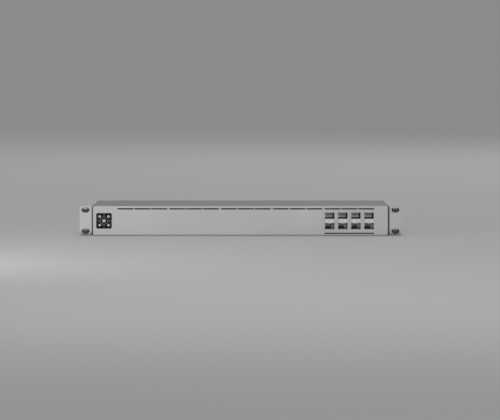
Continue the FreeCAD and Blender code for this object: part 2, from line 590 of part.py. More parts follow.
def chip_packages():
    """Processor, memory, flash, drivers, regulators, the power board's transistors and the reset switch."""
    spots = [(-36, 44, 15, 15, 1.4), (-36, 66, 10, 13, 1.1), (-54, 44, 8, 6, 1.6), (136, 66, 12, 12, 1.3),
             (176, 66, 12, 12, 1.3), (160, 92, 9, 9, 1.1), (-40, 118, 5, 6, 1.0), (-40, 146, 5, 6, 1.0),
             (14, 32, 6, 5, 1.4), (52, 32, 6, 5, 1.4), (150, 150, 7, 7, 1.0), (186, 128, 6, 5, 1.2)]
    chips = [on_board(x, y, sx, sy, h) for x, y, sx, sy, h in spots]
    y0 = BEHIND_WALL + 5.2
    chips.append(upright(DISPLAY_X - 4, DISPLAY_Z + 5, 7.0, 7.0, y0, y0 + 1.0))
    chips.append(upright(DISPLAY_X + 8, DISPLAY_Z + 7, 3.0, 5.0, y0, y0 + 1.2))
    chips += [on_board(x, y + 3.25, 10.0, 4.5, 15.0, POWER_TOP) for x, y, _ in POWER_PLATES]
    switch = block(RESET_X - 3.2, RESET_X + 3.2, RESET_Y - 4.0, RESET_Y, MAIN_TOP, MAIN_TOP + 4.4)
    chips.append(switch.cut(rod(1.0 + TOUCH, Vector(RESET_X, RESET_Y - 2.4, RESET_Z), Y, 5)))
    save("chip_packages", *chips)


def can(radius, height, start, along):
    """A capacitor can with a rolled edge round its far end."""
    body = rod(radius, start, along, height)
    far = start + along * height
    rim = [e for e in body.Edges if e.Closed and (e.BoundBox.Center - far).Length < 0.1]
    return body.makeFillet(min(0.8, radius * 0.2), rim)


def electrolytic_capacitors():
    """The main board's capacitors, the mains reservoir lying on its side and the output capacitors."""
    small = [(-54, 118), (-54, 130), (-54, 142), (-54, 154), (-24, 164), (190, 150), (190, 164), (152, 120)]
    tall = [(-108, 44), (-108, 56), (-108, 68), (-120, 96)]
    cans = [can(3.15, 7.2, Vector(x, y, MAIN_TOP), Z) for x, y in small]
    cans += [can(5.0, 20.0, Vector(x, y, POWER_TOP), Z) for x, y in tall]
    cans.append(can(10.0, 32.0, Vector(-208.0, 112.0, POWER_TOP + 10.0), X))
    save("electrolytic_capacitors", *cans)


def standoffs():
    """Hexagonal standoffs pressed into the tray's floor."""
    made = []
    for places, top in ((MAIN_STANDOFFS, MAIN_TOP - BOARD_T), (POWER_STANDOFFS, POWER_TOP - BOARD_T)):
        for x, y in places:
            corners = [Vector(x + 3.2 * math.cos(math.radians(60 * i)),
                              y + 3.2 * math.sin(math.radians(60 * i)), FLOOR) for i in range(7)]
            post = Part.Face(Part.makePolygon(corners)).extrude(Z * (top - FLOOR))
            made.append(post.cut(rod(1.3, Vector(x, y, FLOOR + 0.6), Z, 10)))
    save("standoffs", *made)


def board_screws():
    shape = screw_shape(2.7, 1.7, 1.25, 5.0)
    placed = screws_at(shape, [Vector(x, y, MAIN_TOP) for x, y in MAIN_STANDOFFS], Z)
    placed += screws_at(shape, [Vector(x, y, POWER_TOP) for x, y in POWER_STANDOFFS], Z)
    save("board_screws", *placed)


# The power supply

def power_board():
    board = block(POWER_X0, POWER_X1, POWER_Y0, POWER_Y1, POWER_TOP - BOARD_T, POWER_TOP)
    save("power_board", board.cut([rod(1.7, Vector(x, y, POWER_TOP - 3), Z, 5) for x, y in POWER_STANDOFFS]))


def power_insulator():
    """The insulating sheet between the power board and the tray."""
    sheet = block(POWER_X0 - 3, POWER_X1 + 3, POWER_Y0 - 4, POWER_Y1 + 4, FLOOR + 0.05, FLOOR + 0.45)
    holes = [rod(4.2, Vector(x, y, FLOOR - 1), Z, 3) for x, y in POWER_STANDOFFS]
    save("power_insulator", sheet.cut(holes))


TRANSFORMER_X, TRANSFORMER_Y = -146.0, 60.0
CHOKE_X, CHOKE_Y, CHOKE_Z = -197.0, 146.0, POWER_TOP + 11.6
POWER_PLATES = [(-166.0, 92.0, 46.0), (-124.0, 78.0, 22.0)]  # heat sink plates: centre and length


def ferrite_cores():
    """The transformer's core, closed round its winding, the choke's toroid and the board's inductors."""
    x, y = TRANSFORMER_X, TRANSFORMER_Y
    core = on_board(x, y, 34.0, 12.0, 26.0, POWER_TOP + 1.0)
    core = core.cut(on_board(x, y, 24.0, 13.0, 17.0, POWER_TOP + 5.5))
    core = core.fuse(on_board(x, y, 10.0, 12.0, 18.0, POWER_TOP + 5.0)).removeSplitter()
    toroid = rod(9.8, Vector(CHOKE_X, CHOKE_Y - 4.5, CHOKE_Z), Y, 9.0)
    toroid = toroid.cut(rod(5.6, Vector(CHOKE_X, CHOKE_Y - 6, CHOKE_Z), Y, 12.0))
    spots = [(-24, 118, 8), (-24, 132, 8), (-24, 146, 8), (172, 150, 7), (172, 164, 7), (190, 100, 6)]
    inductors = [rounded(on_board(cx, cy, side, side, side * 0.55), 1.0, Z) for cx, cy, side in spots]
    save("ferrite_cores", core, toroid, *inductors)


def power_windings():
    """The taped winding on its footed bobbin, and the two halves of the choke's winding."""
    x, y = TRANSFORMER_X, TRANSFORMER_Y
    winding = rounded(on_board(x, y, 23.4, 27.0, 16.4, POWER_TOP + 5.8), 3.0, Z)
    feet = [on_board(x, y + s * 9.8, 22.0, 5.6, 6.6, POWER_TOP) for s in (-1, 1)]
    winding = winding.fuse(feet).cut(on_board(x, y, 10.1, 12.1, 30.0, POWER_TOP + 4.0)).removeSplitter()
    ring = rod(11.6, Vector(CHOKE_X, CHOKE_Y - 6.2, CHOKE_Z), Y, 12.4)
    ring = ring.cut(rod(3.8, Vector(CHOKE_X, CHOKE_Y - 8, CHOKE_Z), Y, 16.0))
    channel = rod(9.85, Vector(CHOKE_X, CHOKE_Y - 4.55, CHOKE_Z), Y, 9.1)
    channel = channel.cut(rod(5.55, Vector(CHOKE_X, CHOKE_Y - 6, CHOKE_Z), Y, 12.0))
    gap = upright(CHOKE_X, CHOKE_Z, 4.4, 40.0, CHOKE_Y - 8, CHOKE_Y + 8)
    save("power_windings", winding, ring.cut([channel, gap]))


def filter_capacitors():
    save("filter_capacitors",
         rounded(on_board(-164.0, 152.0, 18.0, 8.0, 14.0, POWER_TOP), 1.0, Z),
         rounded(on_board(-164.0, 138.0, 13.0, 6.0, 11.0, POWER_TOP), 1.0, Z),
         rounded(on_board(-140.0, 146.0, 6.0, 13.0, 11.0, POWER_TOP), 1.0, Z))


def power_heat_sinks():
    """Bent aluminium plates that cool the switching transistor and the output diode."""
    made = []
    for x, y, length in POWER_PLATES:
        wall = on_board(x, y, length, 2.0, 26.0, POWER_TOP)
        shelf = on_board(x, y - 3.0, length, 8.0, 2.0, POWER_TOP + 24.0)
        made.append(wall.fuse(shelf).removeSplitter())
    save("power_heat_sinks", *made)


def power_wires():
    """The bundle that takes the low voltage to the main board, and the mains wires from the inlet's tabs."""
    wires = []
    for i in range(6):
        start = Vector(-95.0, 101.0 + 3.6 * i, POWER_TOP + 8.0)
        end = Vector(-68.0, 87.0 + 3.6 * i, MAIN_TOP + 8.0)
        over = Vector(end.x, end.y, start.z + 7.5)
        wires.append(along_path([start, start + Z * 7.5, over, end], 0.9, 2.6))
    for side in (-1, 1):
        start = Vector(INLET_X + side * 7.0, REAR - INLET_BODY - 6.0, INLET_Z - 1.2)
        end = Vector(start.x - 5.0, POWER_Y1 - 5.0, POWER_TOP)
        over = Vector(end.x, end.y, start.z)
        wires.append(along_path([start, start - Y * 3.5, over, end], 1.1, 1.6))
    save("power_wires", *wires)


# The rear sockets and controls

INLET_BODY, INLET_LIP, INLET_WELL = 15.5, 2.2, 17.0


def well_outline(y0, y1, width, height, corner):
    """The six-sided recess of a mains inlet, with its two upper corners cut off."""
    x0, x1 = INLET_X - width / 2, INLET_X + width / 2
    z0, z1 = INLET_Z - height / 2, INLET_Z + height / 2
    places = [(x0, z0), (x1, z0), (x1, z1 - corner), (x1 - corner, z1), (x0 + corner, z1), (x0, z1 - corner)]
    outline = Part.makePolygon([Vector(px, y0, pz) for px, pz in places + places[:1]])
    return Part.Face(outline).extrude(Y * (y1 - y0))


def ac_inlet():
    """The mains inlet: a moulded socket with a lip outside the rear wall and three blades inside its well."""
    mouth = REAR + INLET_LIP
    body = upright(INLET_X, INLET_Z, INLET_W, INLET_H, REAR - INLET_BODY, REAR)
    lip = rounded(upright(INLET_X, INLET_Z, INLET_W + 3.8, INLET_H + 3.6, REAR, mouth), 1.5, Y)
    well = well_outline(mouth - INLET_WELL, mouth + 1, 24.6, 16.4, 4.2)
    back = REAR - INLET_BODY
    slots = []
    pins = []
    for x, z, reach in ((-7.0, -1.2, 11.4), (7.0, -1.2, 11.4), (0.0, 2.8, 12.3)):
        cx, cz = INLET_X + x, INLET_Z + z
        slots.append(upright(cx, cz, 2.0 + 2 * TOUCH, 4.0 + 2 * TOUCH, back - 1, back + 3))
        blade = upright(cx, cz, 2.0, 4.0, back - 0.2, mouth - INLET_WELL + reach)
        tip = rounded(blade, 0.6, X, lambda m: m.y > mouth - INLET_WELL + reach - 0.1)
        tab = upright(cx, cz, 0.8, 4.0, back - 6.0, back)
        pins.append(tip.fuse(tab).removeSplitter())
    save("ac_inlet", body.fuse(lip).cut([well] + slots).removeSplitter())
    save("inlet_blades", *pins)


HINGE_R, BARREL_R = 0.8, 1.6
HINGE_Y, HINGE_Z = REAR + 2.3, BACKUP_Z + BACKUP_H / 2 + 3.4
FLAP_W, FLAP_L, FLAP_T, FLAP_RIM = 22.0, 17.4, 1.4, 1.0
BARREL_HALF = 8.3


def backup_socket():
    """The six-way direct-current inlet for a backup supply, on the main board's rear edge."""
    y0, y1 = REAR - 17.0, REAR + 0.2
    body = upright(BACKUP_X, BACKUP_Z, BACKUP_W, BACKUP_H, y0, y1)
    well = upright(BACKUP_X, BACKUP_Z, BACKUP_W - 2.4, BACKUP_H - 2.4, y1 - 13.0, y1 + 1)
    save("backup_socket", body.cut(well))
    pins = [upright(BACKUP_X + px, BACKUP_Z + pz, 1.2, 1.2, y1 - 13.0, y1 - 6.0)
            for px in (-4.2, 0.0, 4.2) for pz in (-1.9, 1.9)]
    save("backup_pins", *pins)


def cover_bracket():
    """The small plate over the backup socket, with the two lugs that hold the cover's hinge pin."""
    y0, y1 = REAR + 0.05, REAR + 0.65
    plate = upright(BACKUP_X, HINGE_Z + 0.8, FLAP_W, 4.4, y0, y1)
    bore = rod(HINGE_R, Vector(BACKUP_X - FLAP_W, HINGE_Y, HINGE_Z), X, 2 * FLAP_W)
    lugs = []
    for side in (-1, 1):
        cx = BACKUP_X + side * (BARREL_HALF + 1.45)
        lugs.append(rod(1.7, Vector(cx - 1.2, HINGE_Y, HINGE_Z), X, 2.4))
        lugs.append(block(cx - 1.2, cx + 1.2, y0, HINGE_Y, HINGE_Z - 1.4, HINGE_Z + 1.7))
    save("cover_bracket", plate.fuse(lugs).cut(bore).removeSplitter())
    reach = BARREL_HALF + 2.6
    save("cover_pin", rod(HINGE_R, Vector(BACKUP_X - reach, HINGE_Y, HINGE_Z), X, 2 * reach))


def backup_cover():
    """The flap that hangs over the backup socket: a plate with a rim round three sides and a hinge barrel."""
    y0, y1 = REAR + 2.2, REAR + 2.2 + FLAP_T
    low, high = HINGE_Z - FLAP_L, HINGE_Z - 1.9
    left, right = BACKUP_X - FLAP_W / 2, BACKUP_X + FLAP_W / 2
    shell = rounded(block(left, right, REAR + 0.35, y1, low, high), 1.6, Y, lambda m: m.z < low + 1)
    shell = shell.cut(block(left + FLAP_RIM, right - FLAP_RIM, REAR, y0, low + FLAP_RIM, high + 1))
    face = [e for e in shell.Edges if abs(e.BoundBox.YMin - y1) < 1e-4 and e.BoundBox.YLength < 1e-4]
    shell = shell.makeFillet(0.4, face)
    barrel = rod(BARREL_R, Vector(BACKUP_X - BARREL_HALF, HINGE_Y, HINGE_Z), X, 2 * BARREL_HALF)
    neck = block(BACKUP_X - BARREL_HALF, BACKUP_X + BARREL_HALF, y0, y1 - 0.2, high - 1, HINGE_Z)
    grip = rounded(upright(BACKUP_X, low + 2.6, 10.0, 1.4, y1 - 0.4, y1 + 0.9), 0.6, Y)
    bore = rod(HINGE_R + TOUCH, Vector(BACKUP_X - FLAP_W, HINGE_Y, HINGE_Z), X, 2 * FLAP_W)
    save("backup_cover", shell.fuse([barrel, neck, grip]).cut(bore).removeSplitter())


def reset_button():
    """The reset switch's plunger, which stands behind a pinhole in the rear wall."""
    y0 = RESET_Y - 1.4
    save("reset_button", rod(1.0, Vector(RESET_X, y0, RESET_Z), Y, REAR_INNER - 0.2 - y0))


def ground_screw():
    """The earthing screw and its toothed washer on the rear wall."""
    washer = rod(4.6, Vector(GROUND_X, REAR, GROUND_Z), Y, 0.6)
    washer = washer.cut([rod(2.05, Vector(GROUND_X, REAR - 1, GROUND_Z), Y, 3)])
    teeth = [rod(0.55, Vector(GROUND_X + 4.6 * math.cos(a), REAR - 1, GROUND_Z + 4.6 * math.sin(a)), Y, 3)
             for a in (math.radians(36 * i) for i in range(10))]
    shape = screw_shape(3.9, 2.4, 1.95, 8.0)
    save("ground_screw", washer.cut(teeth), turned(shape, Vector(GROUND_X, REAR + 0.6, GROUND_Z), Y))


def build():
    os.makedirs("parts", exist_ok=True)
    base_tray()
    rear_panel()
    front_frame()
    top_cover()
    cover_screws()
    front_panel()
    panel_screws()
    rack_ear(-1)
    rack_ear(1)
    ear_screws()
    rack_screws()
    slot_inserts()
    display_lens()
    display_module()
    display_holder()
    display_board()
    display_screws()
    display_ribbon()
    board_headers()
    for number, x in enumerate(columns(), 1):
        sfp_cage(number, x)
    latch_leaves()
    sfp_connectors()
    emi_gaskets()
    light_guides()
    port_lamps()
    main_board()
    switch_chip()
    thermal_pad()
    heat_sink()
    heat_sink_screws()
    chip_packages()
    electrolytic_capacitors()
    standoffs()
    board_screws()
    power_board()
    power_insulator()
    ferrite_cores()
    power_windings()
    filter_capacitors()
    power_heat_sinks()
    power_wires()
    ac_inlet()
    backup_socket()
    cover_bracket()
    backup_cover()
    reset_button()
    ground_screw()
    for node, count, volume in SAVED:
        print(f"{node}: {count} solid(s), {volume:.1f} mm3")
    print(len(SAVED), "nodes")


build()
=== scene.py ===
import math

import bmesh
import bpy
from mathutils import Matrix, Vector


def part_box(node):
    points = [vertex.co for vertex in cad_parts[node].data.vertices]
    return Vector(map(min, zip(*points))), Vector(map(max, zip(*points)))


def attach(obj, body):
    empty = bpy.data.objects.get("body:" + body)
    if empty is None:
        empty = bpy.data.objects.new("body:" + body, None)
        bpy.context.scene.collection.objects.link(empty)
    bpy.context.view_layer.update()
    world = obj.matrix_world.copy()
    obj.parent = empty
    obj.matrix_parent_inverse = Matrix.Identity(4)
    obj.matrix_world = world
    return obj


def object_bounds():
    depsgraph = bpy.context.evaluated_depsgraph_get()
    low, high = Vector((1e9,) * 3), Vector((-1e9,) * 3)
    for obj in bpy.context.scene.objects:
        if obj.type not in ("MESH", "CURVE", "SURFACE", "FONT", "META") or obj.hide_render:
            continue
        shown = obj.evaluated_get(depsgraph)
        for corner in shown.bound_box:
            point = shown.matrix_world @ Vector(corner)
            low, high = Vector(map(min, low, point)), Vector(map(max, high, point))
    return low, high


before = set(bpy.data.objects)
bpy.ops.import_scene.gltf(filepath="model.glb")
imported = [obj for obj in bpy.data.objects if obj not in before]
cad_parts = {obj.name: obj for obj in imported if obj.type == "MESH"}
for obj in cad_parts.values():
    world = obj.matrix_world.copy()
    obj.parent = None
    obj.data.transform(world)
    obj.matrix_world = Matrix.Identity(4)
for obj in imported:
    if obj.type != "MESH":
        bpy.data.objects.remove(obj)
cad_low, cad_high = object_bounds()
ROOT = "chassis"
MM = 0.001
PORT_RISE = 7.65 * MM       # from a stack's middle to each port's middle
MIX_A, MIX_B, MIX_RESULT = 6, 7, 2      # the Mix node's colour sockets


# Node trees

class Paint:
    """A procedural material, built up a node at a time.

    Textures are laid out in metres in the object's frame.
    """

    def __init__(self, name, metallic=0.0, specular=0.5, ior=1.5, coat=0.0, coat_roughness=0.1,
                 transmission=0.0):
        self.material = bpy.data.materials.new(name)
        self.material.use_nodes = True
        self.nodes = self.material.node_tree.nodes
        self.links = self.material.node_tree.links
        self.shader = self.nodes["Principled BSDF"]
        settings = {
            "Metallic": metallic, "Specular IOR Level": specular, "IOR": ior, "Coat Weight": coat,
            "Coat Roughness": coat_roughness, "Transmission Weight": transmission,
        }
        for socket, value in settings.items():
            self.shader.inputs[socket].default_value = value
        self.place = self.node("ShaderNodeTexCoord").outputs["Object"]

    def node(self, kind, **settings):
        made = self.nodes.new(kind)
        for name, value in settings.items():
            setattr(made, name, value)
        return made

    def put(self, socket, value):
        """Sets an input to a number or colour, or links it to an output."""
        if isinstance(value, bpy.types.NodeSocket):
            self.links.new(value, socket)
        elif isinstance(value, tuple) and len(value) == 3 and len(socket.default_value) == 4:
            socket.default_value = (*value, 1.0)
        else:
            socket.default_value = value

    def stretched(self, x, y, z):
        mapping = self.node("ShaderNodeMapping")
        self.put(mapping.inputs["Vector"], self.place)
        mapping.inputs["Scale"].default_value = (x, y, z)
        return mapping.outputs["Vector"]

    def noise(self, scale, detail=2.0, roughness=0.5, vector=None):
        made = self.node("ShaderNodeTexNoise")
        self.put(made.inputs["Vector"], vector or self.place)
        made.inputs["Scale"].default_value = scale
        made.inputs["Detail"].default_value = detail
        made.inputs["Roughness"].default_value = roughness
        return made.outputs["Fac"]

    def cells(self, scale, feature="F1", vector=None, output="Distance"):
        made = self.node("ShaderNodeTexVoronoi", feature=feature)
        self.put(made.inputs["Vector"], vector or self.place)
        made.inputs["Scale"].default_value = scale
        return made.outputs[output]

    def math(self, operation, a, b=0.0, clamp=False):
        made = self.node("ShaderNodeMath", operation=operation, use_clamp=clamp)
        self.put(made.inputs[0], a)
        self.put(made.inputs[1], b)
        return made.outputs["Value"]

    def span(self, value, low, high, to_low=0.0, to_high=1.0):
        """Takes the range low to high of a value to another range, and holds it there."""
        made = self.node("ShaderNodeMapRange")
        for socket, number in zip(made.inputs, (value, low, high, to_low, to_high)):
            self.put(socket, number)
        return made.outputs["Result"]

    def mix(self, share, a, b):
        made = self.node("ShaderNodeMix", data_type="RGBA")
        self.put(made.inputs["Factor"], share)
        self.put(made.inputs[MIX_A], a)
        self.put(made.inputs[MIX_B], b)
        return made.outputs[MIX_RESULT]

    def normal(self):
        return self.node("ShaderNodeNewGeometry").outputs["Normal"]

    def component(self, vector, axis):
        """The X, Y or Z of a vector."""
        split = self.node("ShaderNodeSeparateXYZ")
        self.put(split.inputs["Vector"], vector)
        return split.outputs[axis]

    def facing(self, axis):
        """How far the surface faces up or down an axis, from 0 to 1."""
        return self.math("ABSOLUTE", self.component(self.normal(), axis))

    def edges(self, radius):
        """Near 1 along an outer or inner edge, 0 on open faces."""
        bevel = self.node("ShaderNodeBevel", samples=4)
        bevel.inputs["Radius"].default_value = radius
        dot = self.node("ShaderNodeVectorMath", operation="DOT_PRODUCT")
        self.put(dot.inputs[0], bevel.outputs["Normal"])
        self.put(dot.inputs[1], self.normal())
        return self.span(dot.outputs["Value"], 0.995, 0.85)

    def painted_crevice_shade(self, reach, own=False):
        """Near 1 deep in gaps and inside corners, 0 in the open: the mask for painted shade.

        With own, only the node's own shape counts.
        """
        made = self.node("ShaderNodeAmbientOcclusion", samples=8, only_local=own)
        made.inputs["Distance"].default_value = reach
        return self.span(made.outputs["AO"], 0.82, 0.42)

    def colour(self, value):
        self.put(self.shader.inputs["Base Color"], value)

    def roughness(self, value):
        self.put(self.shader.inputs["Roughness"], value)

    def bump(self, *layers):
        """Surface relief from (height, strength, depth in metres) layers."""
        last = None
        for height, strength, depth in layers:
            made = self.node("ShaderNodeBump")
            made.inputs["Strength"].default_value = strength
            made.inputs["Distance"].default_value = depth
            self.put(made.inputs["Height"], height)
            if last:
                self.put(made.inputs["Normal"], last)
            last = made.outputs["Normal"]
        self.put(self.shader.inputs["Normal"], last)


def grey(level, warmth=0.0):
    return (level * (1 + warmth), level, level * (1 - warmth))


def shade(colour, share):
    return tuple(part * share for part in colour)


# Materials

def powder_coat(name, level, worn):
    """Baked powder paint: orange peel, faint mottling, handling marks, and edges rubbed to bare metal."""
    p = Paint(name, specular=0.35)
    mottle = p.noise(420, detail=4, roughness=0.6)
    handling = p.span(p.noise(9, detail=5, roughness=0.65), 0.42, 0.68)
    body = p.mix(p.span(mottle, 0.35, 0.65), grey(level * 0.94), grey(level * 1.06))
    body = p.mix(p.math("MULTIPLY", handling, 0.10), body, grey(level * 0.7, 0.02))
    rub = p.math("MULTIPLY", p.edges(0.5 * MM), p.span(p.noise(160, detail=5), 0.45, 0.62))
    p.colour(p.mix(rub, body, grey(worn)))
    p.roughness(p.math("SUBTRACT", p.span(mottle, 0.3, 0.7, 0.52, 0.62), p.math("MULTIPLY", handling, 0.10)))
    p.bump((p.noise(1500, detail=1), 0.35, 0.06 * MM), (p.noise(5200, detail=2), 0.15, 0.02 * MM))
    return p.material


def blasted_silver(name, level, groove_shade_reach, up_down_shade=1.0):
    """Bead-blasted metal with a satin silver finish: fine grain, a painted highlight along the edges and
    painted shade in the grooves.

    The faces that look up or down, such as the sheet's cut edges, can be painted darker as shade.
    """
    p = Paint(name, metallic=0.25, specular=0.4)
    grain = p.noise(3600, detail=3, roughness=0.7)
    cloud = p.noise(16, detail=4, roughness=0.55)
    body = p.mix(p.span(grain, 0.3, 0.7), grey(level * 0.93), grey(level * 1.07))
    body = p.mix(p.span(cloud, 0.4, 0.7, 0.0, 0.10), body, grey(level * 0.82, 0.01))
    # painted highlight: the edges are painted brighter than the faces
    painted_edge_highlight = p.math("MULTIPLY", p.edges(0.35 * MM), p.span(p.noise(300, detail=3), 0.35, 0.6))
    body = p.mix(p.math("MULTIPLY", painted_edge_highlight, 0.55), body, grey(min(level * 1.35, 0.9)))
    # painted shade: the faces that look up or down are painted darker
    body = p.mix(p.span(p.facing("Z"), 0.75, 0.95), body, grey(level * up_down_shade, 0.01))
    # painted shade: darker deep in grooves and gaps, within the given reach
    p.colour(p.mix(p.math("MULTIPLY", p.painted_crevice_shade(groove_shade_reach), 0.9), body, grey(level * 0.1, 0.02)))
    p.roughness(p.math("ADD", p.span(grain, 0.3, 0.7, 0.42, 0.52), p.span(cloud, 0.4, 0.7, 0.0, -0.05)))
    p.bump((grain, 0.22, 0.03 * MM), (p.noise(900, detail=2), 0.06, 0.05 * MM))
    return p.material


def plated(name, colour, low=0.2, high=0.36, grain=2400, tarnish=0.35):
    """A plated metal: bright, with fine crystals, darker patches and a dull film in patches."""
    p = Paint(name, metallic=1.0)
    crystals = p.cells(grain, output="Color")
    film = p.span(p.noise(120, detail=5, roughness=0.65), 0.42, 0.72)
    patches = p.math("MULTIPLY", p.span(p.noise(grain), 0.3, 0.7), 0.25)
    bright = p.mix(patches, colour, shade(colour, 0.78))
    p.colour(p.mix(p.math("MULTIPLY", film, tarnish), bright, shade(colour, 0.55)))
    p.roughness(p.math("ADD", p.span(crystals, 0, 1, low, high), p.math("MULTIPLY", film, 0.12)))
    p.bump((p.noise(grain, detail=2), 0.12, 0.02 * MM), (p.noise(500, detail=3), 0.08, 0.05 * MM))
    return p.material


def blackened(name):
    """Blackened screws: dull and dark, with a painted highlight of bright metal on the upper side of their
    rounded rims, and painted shade on the faces that turn away from the front.
    """
    p = Paint(name, specular=0.3)
    film = p.span(p.noise(900, detail=5, roughness=0.65), 0.4, 0.7)
    up = p.component(p.normal(), "Z")
    # painted highlight: a band on the upper side of each rounded rim is made bright metal
    highlight_band = p.math("MULTIPLY", p.span(up, 0.15, 0.25), p.span(up, 0.95, 0.8))
    black = p.mix(film, grey(0.05), grey(0.09, 0.02))
    # painted shade: the faces that turn away from the front are painted near black
    black = p.mix(p.span(p.facing("Y"), 0.96, 0.80), black, grey(0.012))
    painted_highlight_metal = p.mix(film, grey(0.95), grey(0.75, 0.02))
    p.colour(p.mix(highlight_band, black, painted_highlight_metal))
    p.put(p.shader.inputs["Metallic"], highlight_band)
    p.roughness(p.math("SUBTRACT", p.span(film, 0, 1, 0.45, 0.55), p.math("MULTIPLY", highlight_band, 0.2)))
    p.bump((p.noise(2400, detail=2), 0.12, 0.02 * MM), (p.noise(500, detail=3), 0.08, 0.05 * MM))
    return p.material


def rolled_sheet(name, level, direction, metallic=0.85, dull=0.0, hollow_shade_reach=0.0):
    """Tin-plated sheet: rolling lines one way, soft reflections from its slight waviness.

    With a reach in metres, the inside of a folded shape gets painted shade.
    """
    p = Paint(name, metallic=metallic)
    lines = p.noise(1, detail=4, roughness=0.7, vector=p.stretched(*direction))
    blotch = p.noise(260, detail=4, roughness=0.6)
    body = p.mix(p.span(lines, 0.3, 0.7), grey(level * 0.86, 0.01), grey(level, 0.005))
    body = p.mix(p.span(blotch, 0.5, 0.75, 0.0, 0.3), body, grey(level * 0.62, 0.02))
    if hollow_shade_reach:
        # painted shade inside the folded shape
        body = p.mix(p.painted_crevice_shade(hollow_shade_reach, own=True), body, grey(level * 0.2))
    p.colour(body)
    p.roughness(p.span(blotch, 0.3, 0.7, 0.26 + dull, 0.42 + dull))
    p.bump((lines, 0.10, 0.02 * MM), (p.noise(180, detail=1), 0.10, 0.12 * MM))
    return p.material


def moulding(name, level, sheen=0.45, warmth=0.0, grain=2600):
    """Moulded plastic: a fine spark-eroded texture, glossier along its edges, with a little dust."""
    p = Paint(name, specular=0.45)
    sparks = p.noise(grain, detail=3, roughness=0.7)
    dust = p.span(p.noise(70, detail=6, roughness=0.7), 0.5, 0.75)
    body = p.mix(p.span(sparks, 0.3, 0.7), grey(level * 0.85, warmth), grey(level * 1.15, warmth))
    p.colour(p.mix(p.math("MULTIPLY", dust, 0.06), body, grey(0.5, 0.02)))
    gloss = p.math("MULTIPLY", p.edges(0.3 * MM), 0.12)
    p.roughness(p.math("SUBTRACT", p.span(sparks, 0.3, 0.7, sheen, sheen + 0.12), gloss))
    p.bump((sparks, 0.30, 0.03 * MM), (p.noise(600), 0.05, 0.05 * MM))
    return p.material


def connector_resin():
    """The connectors' pale moulding: matt, with painted shade in the recesses round the noses."""
    p = Paint("connector_resin", specular=0.3)
    sparks = p.noise(2600, detail=3, roughness=0.7)
    # painted shade: the connector behind its nose, and its hollows, are painted near black
    painted_recess_shade = p.span(p.component(p.place, "Y"), 31.5 * MM, 36.0 * MM)
    body = p.mix(p.span(sparks, 0.3, 0.7), grey(0.84, 0.02), grey(0.90, 0.02))
    p.colour(p.mix(p.math("MAXIMUM", painted_recess_shade, p.painted_crevice_shade(3.0 * MM, own=True)), body, grey(0.012)))
    p.roughness(p.span(sparks, 0.3, 0.7, 0.5, 0.62))
    p.bump((sparks, 0.30, 0.03 * MM))
    return p.material


def soft_elastomer():
    """The socket cover's rubber: matt, with a pale bloom and a faint moulded grain."""
    p = Paint("soft_elastomer", specular=0.3)
    bloom = p.span(p.noise(150, detail=6, roughness=0.7), 0.45, 0.75)
    p.colour(p.mix(p.math("MULTIPLY", bloom, 0.25), grey(0.022), grey(0.10)))
    p.roughness(p.span(bloom, 0, 1, 0.62, 0.8))
    p.bump((p.noise(2200, detail=3), 0.35, 0.04 * MM))
    return p.material


def display_glass():
    """Black-backed cover glass with faint finger smears."""
    p = Paint("display_glass", specular=0.16)
    smear = p.span(p.noise(90, detail=4, roughness=0.6, vector=p.stretched(1.0, 1.0, 0.45)), 0.5, 0.72)
    p.colour(p.mix(smear, grey(0.003), grey(0.008)))
    p.roughness(p.span(smear, 0, 1, 0.05, 0.22))
    p.bump((p.noise(400, detail=1), 0.02, 0.01 * MM))
    return p.material


def lit_ink(name, level, glow):
    """A lit area of the display, with the faint grid of its dots."""
    p = Paint(name, specular=0.3)
    dots = p.cells(6500, vector=p.stretched(1.0, 0.0, 1.0))
    lit = p.mix(p.span(dots, 0.1, 0.6), grey(level), grey(level * 0.75))
    p.colour(lit)
    p.put(p.shader.inputs["Emission Color"], lit)
    p.shader.inputs["Emission Strength"].default_value = glow
    p.roughness(p.span(dots, 0, 1, 0.3, 0.4))
    return p.material


def clear_resin():
    """Frosted moulded light guides, with flow lines."""
    p = Paint("clear_resin", transmission=0.25, ior=1.49)
    flow = p.noise(60, detail=3, vector=p.stretched(4.0, 0.4, 4.0))
    p.colour(p.mix(p.span(flow, 0.4, 0.7), (0.93, 0.95, 0.95), (0.80, 0.84, 0.84)))
    p.roughness(p.span(flow, 0.3, 0.7, 0.12, 0.3))
    p.bump((flow, 0.1, 0.05 * MM))
    return p.material


def circuit_board():
    """Green solder mask over copper: tracks stand proud and show lighter, with plated pads between."""
    p = Paint("circuit_board", specular=0.5, coat=0.4, coat_roughness=0.2)
    tracks = p.node("ShaderNodeTexBrick", offset=0.5)
    p.put(tracks.inputs["Vector"], p.place)
    layout = {"Scale": 230.0, "Mortar Size": 0.012, "Brick Width": 0.9, "Row Height": 0.22}
    for socket, value in layout.items():
        tracks.inputs[socket].default_value = value
    pads = p.span(p.cells(300), 0.10, 0.07)
    areas = p.span(p.cells(45, output="Color"), 0.4, 0.6)
    mask = p.mix(p.math("MULTIPLY", tracks.outputs["Fac"], 0.8), (0.010, 0.055, 0.028), (0.022, 0.11, 0.055))
    mask = p.mix(p.math("MULTIPLY", areas, 0.35), mask, (0.018, 0.085, 0.045))
    p.colour(p.mix(pads, mask, (0.62, 0.58, 0.45)))
    p.roughness(p.span(p.noise(300, detail=3), 0.3, 0.7, 0.28, 0.42))
    p.bump((p.math("ADD", tracks.outputs["Fac"], pads), 0.4, 0.04 * MM))
    return p.material


